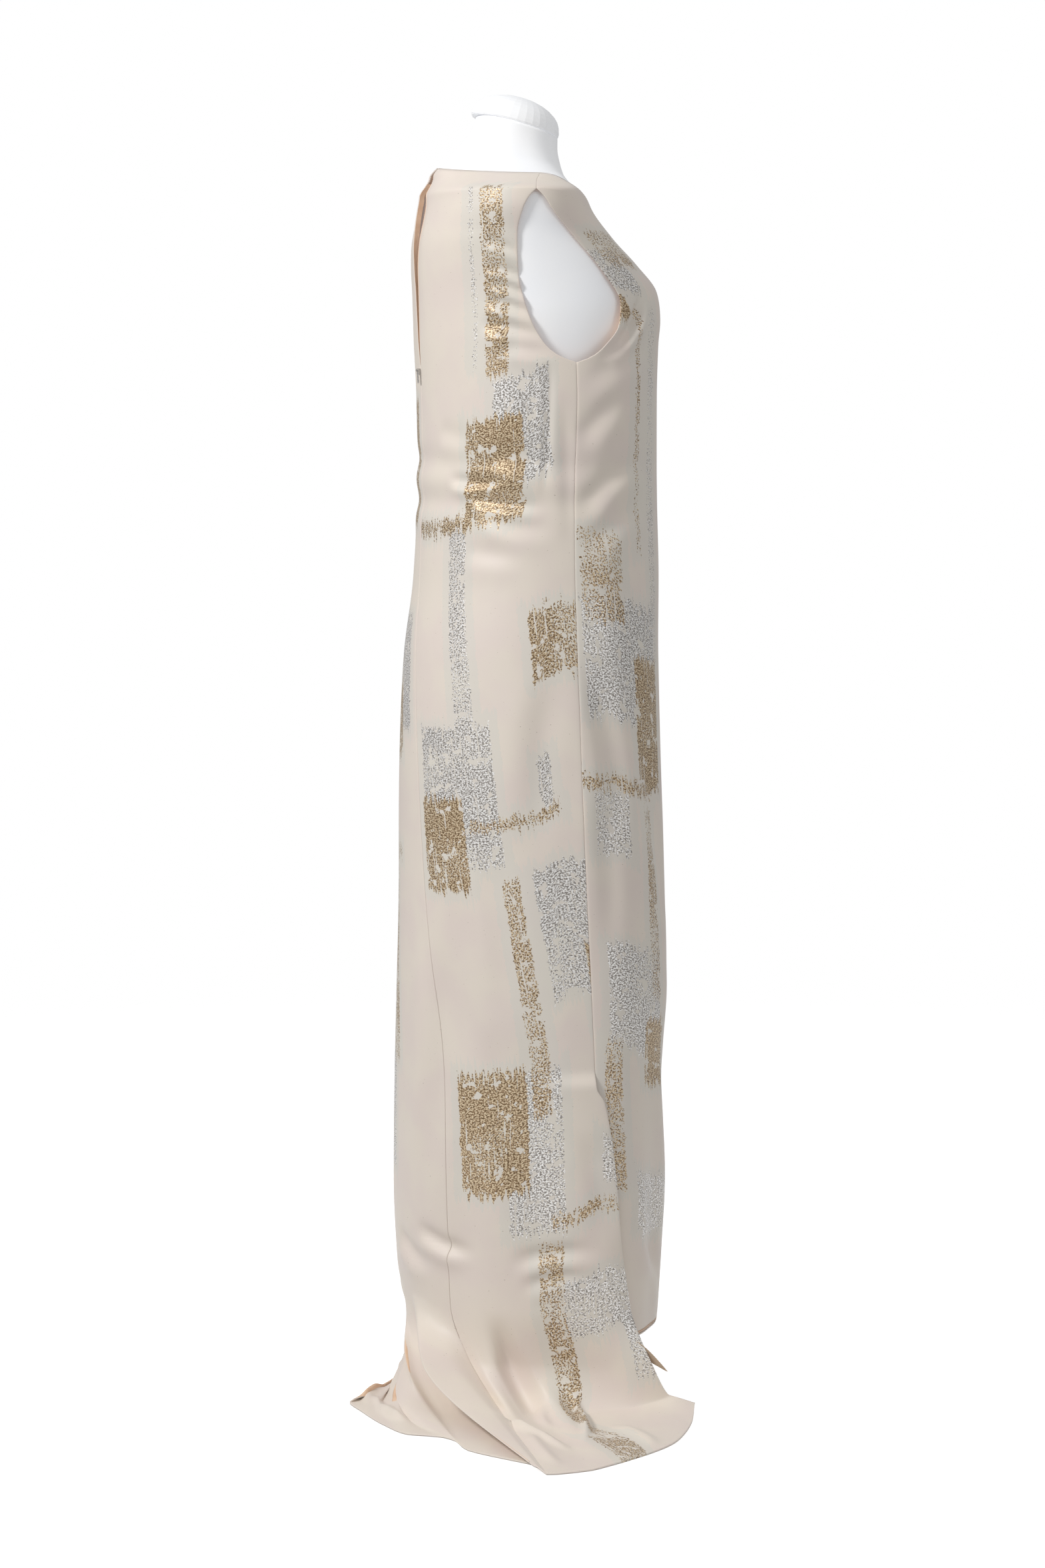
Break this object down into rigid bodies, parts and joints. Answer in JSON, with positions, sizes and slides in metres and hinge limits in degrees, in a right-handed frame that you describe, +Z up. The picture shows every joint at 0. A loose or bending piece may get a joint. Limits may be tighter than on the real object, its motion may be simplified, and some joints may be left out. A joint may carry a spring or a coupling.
{
  "type": "sleeveless maxi dress on a limbless dress form",
  "caption": "Long column dress with boat neck, open back slit, side slits and a train on the floor, standing on a limbless dress form with a pole and round base.",
  "frame": {"origin": "the foot of the form's pole, on the floor under the middle of the base", "axes": "+Z up, the front of the dress faces -Y, the wearer's right side is -X, the train lies towards -X and +Y"},
  "size_m": [0.633, 0.3982, 1.5434],
  "materials": {
    "silk": "satin weave with worn metallic gold and silver patches",
    "lining": "smooth peach lining",
    "form_cover": "matt white",
    "metal": "satin nickel"
  },
  "bodies": {
    "dress": {"dress_front": "silk", "dress_back_right": "silk", "dress_back_left": "silk", "back_slit_facing_right": "lining", "back_slit_facing_left": "lining", "side_slit_facing": "lining", "zip_slider": "metal", "neck_eye": "metal", "neck_hook": "metal", "form_torso": "form_cover", "form_neck_cap": "form_cover", "form_base": "form_cover", "form_pole": "metal"},
    "zip_tab": {"zip_pull_tab": "metal"}
  },
  "joints": [
    {"name": "zip_tab_swing", "type": "hinge", "parent": "dress", "child": "zip_tab", "pos_m": [-0.00812, 0.13966, 1.21982], "axis": [0.9986, 0.0523, 0], "range_deg": [0, 150]}
  ]
}
